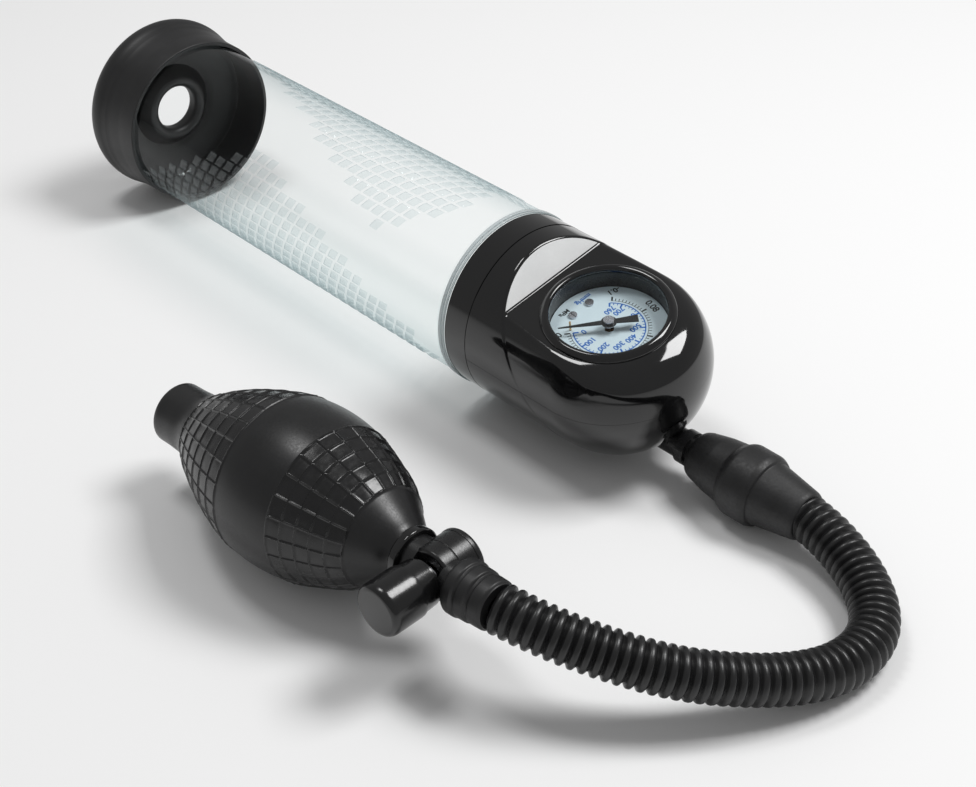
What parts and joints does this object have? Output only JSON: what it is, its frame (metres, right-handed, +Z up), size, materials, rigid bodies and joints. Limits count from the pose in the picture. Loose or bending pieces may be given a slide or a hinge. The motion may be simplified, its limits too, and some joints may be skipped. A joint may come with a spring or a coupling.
{
  "type": "hand vacuum pump",
  "caption": "Hand vacuum pump: clear cylinder with a rubber end sleeve and a gauge head, joined by a corrugated hose to a squeeze bulb with a push-button release valve.",
  "frame": {"origin": "on the ground under the middle of the bounding box of everything but the hose and its two end fittings", "axes": "+X along the cylinder from its open end towards the gauge head, +Y from the bulb towards the cylinder, +Z up"},
  "size_m": [0.3975, 0.1749, 0.0709],
  "materials": {
    "clear_plastic": "clear acrylic, gloss",
    "soft_black": "matte moulded rubber",
    "gloss_black": "high gloss moulded plastic",
    "satin_black": "satin moulded plastic",
    "silver_plate": "bright polished",
    "lens_clear": "clear gloss",
    "dial_white": "pale blue-white paint with printed scales",
    "needle_black": "black paint",
    "steel": "fine brushed",
    "brass_parts": "turned brass",
    "valve_rubber": "smooth moulded rubber"
  },
  "bodies": {
    "pump": {"clear_tube": "clear_plastic", "tube_seal": "soft_black", "head_collar": "gloss_black", "bulkhead": "satin_black", "lower_shell": "gloss_black", "upper_shell": "gloss_black", "accent_plate": "silver_plate", "gauge_bezel": "gloss_black", "gauge_lens": "lens_clear", "gauge_case": "satin_black", "dial_plate": "dial_white", "dial_screws": "steel", "stop_pin": "brass_parts", "movement_plates": "brass_parts", "hairspring": "steel", "bourdon_tube": "brass_parts", "gauge_socket": "brass_parts", "socket_nut": "brass_parts", "air_manifold": "brass_parts", "hose_nipple": "satin_black", "nipple_seal": "soft_black", "hose_connector": "soft_black", "air_hose": "soft_black", "hose_cuff": "soft_black", "valve_body": "satin_black", "valve_end_cap": "satin_black", "inlet_retainer": "satin_black", "bulb_collar": "gloss_black", "squeeze_bulb": "soft_black", "exhaust_insert": "steel", "exhaust_retainer": "steel"},
    "sleeve": {"end_sleeve": "soft_black"},
    "needle": {"pointer_needle": "needle_black", "pointer_hub": "steel", "pinion_arbor": "brass_parts"},
    "sector": {"sector_gear": "brass_parts"},
    "release": {"release_knob": "gloss_black", "release_stem": "steel", "poppet_seal": "valve_rubber", "knob_spring": "steel"},
    "inlet_flap": {"inlet_disc": "valve_rubber"},
    "exhaust_flap": {"exhaust_disc": "valve_rubber"}
  },
  "joints": [
    {"name": "sleeve_slide", "type": "slide", "parent": "pump", "child": "sleeve", "axis": [-1, 0, 0], "range_m": [0, 0.04]},
    {"name": "sector_turn", "type": "hinge", "parent": "pump", "child": "sector", "pos_m": [0.09191, 0.04775, 0.0554], "axis": [0.0837, -0.2072, 0.9747], "range_deg": [-43.6, 0], "stiffness_Nm_per_rad": 0.0001, "springref_deg": 11.46},
    {"name": "needle_turn", "type": "hinge", "parent": "pump", "child": "needle", "pos_m": [0.10411, 0.04796, 0.0544], "axis": [0.0837, -0.2072, 0.9747], "range_deg": [0, 262]},
    {"name": "release_press", "type": "slide", "parent": "pump", "child": "release", "axis": [-0.0523, 0.9986, 0], "range_m": [0, 0.002], "stiffness_N_per_m": 1000, "springref_m": -0.001},
    {"name": "inlet_lift", "type": "slide", "parent": "pump", "child": "inlet_flap", "axis": [-0.9977, -0.0523, -0.0436], "range_m": [0, 0.0008], "stiffness_N_per_m": 20, "springref_m": -0.0002},
    {"name": "exhaust_lift", "type": "slide", "parent": "pump", "child": "exhaust_flap", "axis": [-0.9977, -0.0523, -0.0436], "range_m": [0, 0.0008], "stiffness_N_per_m": 20, "springref_m": -0.0002}
  ],
  "couplings": [
    {"joint": "needle_turn", "follows": "sector_turn", "ratio": -6}
  ]
}
